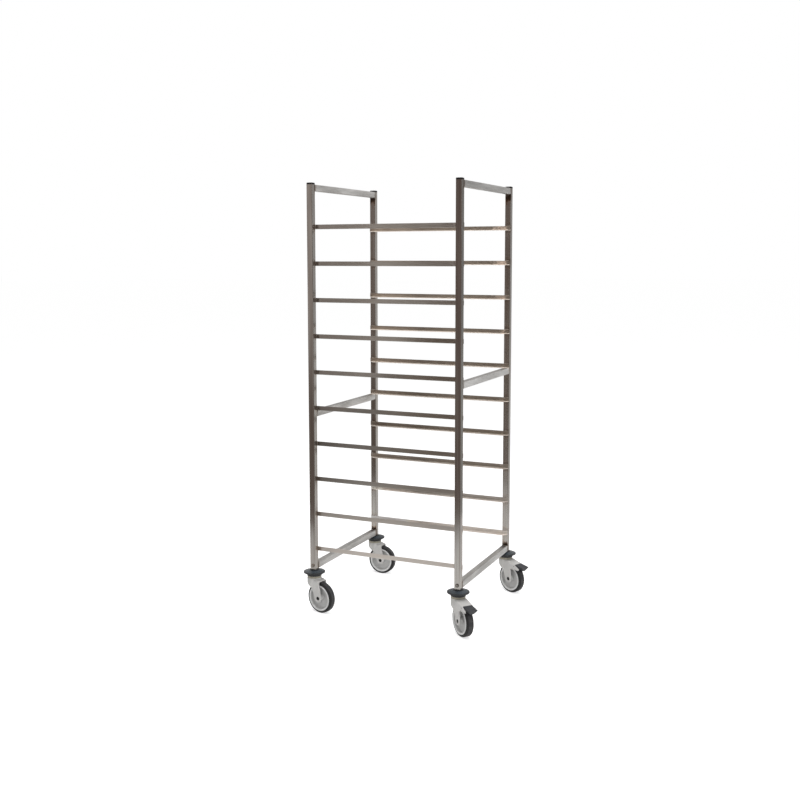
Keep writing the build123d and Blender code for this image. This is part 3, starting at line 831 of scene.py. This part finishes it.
def wallTone(tree):
    x, y, z = fromCentre(tree)
    share = spread(tree, calc(tree, "ARCTAN2", x, y), -math.pi, math.pi)
    shares = [turn / 360 + 0.5 for turn in cardTurns]
    low, high = (ramp(tree, share, list(zip(shares, tones))) for tones in (lowTones, highTones))
    return tinted(tree, spread(tree, z, *studio["wall"]["fade"], smooth=True), low, high)


def groundTone(tree):
    look = studio["ground"]
    x, y, z = fromCentre(tree)
    share = spread(tree, hypot(tree, x, y), look["hole"], studio["wall"]["radius"])
    plain = ramp(tree, share, look["tones"])
    return tinted(tree, spread(tree, y, *look["behind"], smooth=True), plain, look["behindTone"])


def cardTop(turn):
    after = next(step for step in range(1, len(cards)) if turn <= cardTurns[step])
    before = after - 1
    share = (turn - cardTurns[before]) / (cardTurns[after] - cardTurns[before])
    return cardTops[before] + (cardTops[after] - cardTops[before]) * share


def makeCard(name, lows, highs, tone):
    finish = bpy.data.materials.new(name)
    finish.use_nodes = True
    tree = finish.node_tree
    tree.nodes.clear()
    glow = tree.nodes.new("ShaderNodeEmission")
    feed(tree, glow.inputs["Color"], tone(tree))
    out = tree.nodes.new("ShaderNodeOutputMaterial")
    feed(tree, out.inputs["Surface"], glow.outputs[0])
    mesh = bmesh.new()
    joinLoops(mesh, *([mesh.verts.new(point) for point in points] for points in (lows, highs)))
    card = newPiece(name, mesh, finish)
    for part in ("camera", "diffuse", "transmission", "shadow", "volume_scatter"):
        setattr(card, "visible_" + part, False)


def makeCards():
    look, ground = studio["wall"], studio["ground"]
    around = [360 * step / look["steps"] - 180 for step in range(look["steps"])]

    def ringPoint(turn, radius, z):
        way = math.radians(turn)
        return look["centre"][0] + radius * math.sin(way), look["centre"][1] - radius * math.cos(way), z

    foot = [ringPoint(turn, look["radius"], 0) for turn in around]
    top = [ringPoint(turn, look["radius"], cardTop(turn)) for turn in around]
    makeCard("wallCards", foot, top, wallTone)
    near = [ringPoint(turn, ground["hole"], ground["lift"]) for turn in around]
    far = [ringPoint(turn, look["radius"], ground["lift"]) for turn in around]
    makeCard("groundCard", near, far, groundTone)


def makeLamp(name):
    look = studio[name]
    data = bpy.data.lights.new(name, "AREA")
    data.size = look["size"]
    data.energy = look["power"]
    lamp = bpy.data.objects.new(name, data)
    scene.collection.objects.link(lamp)
    lamp.location = look["at"]
    lamp.rotation_euler = (Vector(look["aim"]) - Vector(look["at"])).to_track_quat("-Z", "Y").to_euler()


makeWorld()
makeFloor()
makeCards()
makeLamp("topLamp")
makeLamp("sideLamp")
print("studio made")

# camera about where the picture was taken from, with its turns in degrees
shot = {"at": (1.705, -3.8928, 1.4514), "yaw": -24.371, "pitch": -5.811, "roll": -0.075,
        "lens": 46.491, "sensor": 36, "shiftY": -0.05}


def makeCamera():
    yaw, pitch, roll = (math.radians(shot[turn]) for turn in ("yaw", "pitch", "roll"))
    ahead = Vector((math.sin(yaw) * math.cos(pitch), math.cos(yaw) * math.cos(pitch), math.sin(pitch)))
    right = Vector((math.cos(yaw), -math.sin(yaw), 0))
    above = right.cross(ahead)
    acrossWay = right * math.cos(roll) + above * math.sin(roll)
    upWay = above * math.cos(roll) - right * math.sin(roll)
    data = bpy.data.cameras.new("shot")
    data.lens = shot["lens"]
    data.sensor_width = shot["sensor"]
    data.shift_y = shot["shiftY"]
    camera = bpy.data.objects.new("shot", data)
    scene.collection.objects.link(camera)
    turn = Matrix((acrossWay, upWay, -ahead)).transposed()
    camera.matrix_world = Matrix.Translation(shot["at"]) @ turn.to_4x4()
    scene.camera = camera


makeCamera()
print("camera set")
